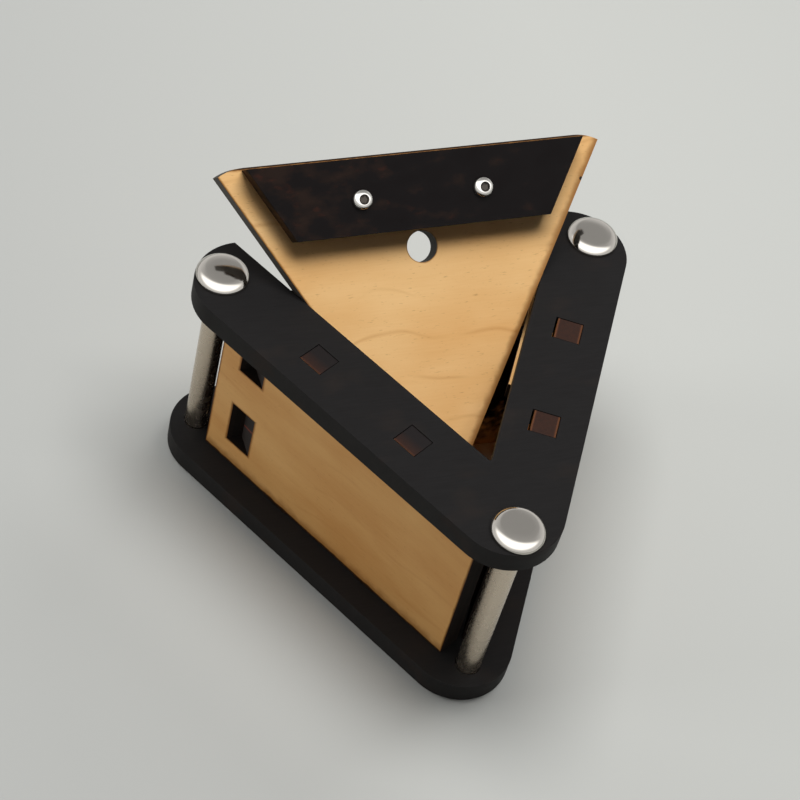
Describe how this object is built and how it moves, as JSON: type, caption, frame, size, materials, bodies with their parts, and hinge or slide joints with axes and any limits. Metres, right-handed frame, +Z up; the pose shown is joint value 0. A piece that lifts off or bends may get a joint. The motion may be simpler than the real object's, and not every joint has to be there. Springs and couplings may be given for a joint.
{
  "type": "puzzle box",
  "caption": "Triangular plywood trick box with steel corner posts and a V-shaped top plate. Its triangular lid slides under the arms, and is shown pulled out and leaning in the opening.",
  "frame": {"origin": "middle of the triangle of the three posts, on the underside of the base plate, which lies on the table", "axes": "+Z up; +Y to the open rear, where the lid slides out; +X along the rear wall, to the right seen from the front post"},
  "size_m": [0.1156, 0.1116, 0.0916],
  "materials": {
    "black_plywood": "black stained plywood, satin, charred edges",
    "tan_plywood": "bare plywood, laser cut, charred edges",
    "birch_plywood": "pale bare birch plywood, fine grain",
    "dark_plywood": "dark stained plywood, mottled",
    "satin_steel": "turned steel, satin barrels and polished domes",
    "bright_steel": "bright socket screws"
  },
  "bodies": {
    "box": {"base_plate": "black_plywood", "top_plate": "black_plywood", "left_wall": "tan_plywood", "right_wall": "tan_plywood", "rear_wall": "tan_plywood", "cross_wall": "tan_plywood", "left_runner": "birch_plywood", "right_runner": "birch_plywood", "left_post": "satin_steel", "right_post": "satin_steel", "front_post": "satin_steel", "base_screws": "satin_steel"},
    "lid": {"lid_board": "birch_plywood", "lid_bar": "dark_plywood", "lid_screws": "bright_steel"},
    "pin": {"lock_pin": "bright_steel"}
  },
  "joints": [
    {"name": "lid_lift", "type": "slide", "parent": "box", "child": "lid", "axis": [0, 0.7471, 0.6647], "range_m": [0, 0.07]},
    {"name": "pin_drop", "type": "slide", "parent": "lid", "child": "pin", "axis": [0, -0.6647, 0.7471], "range_m": [0, 0.003]}
  ]
}
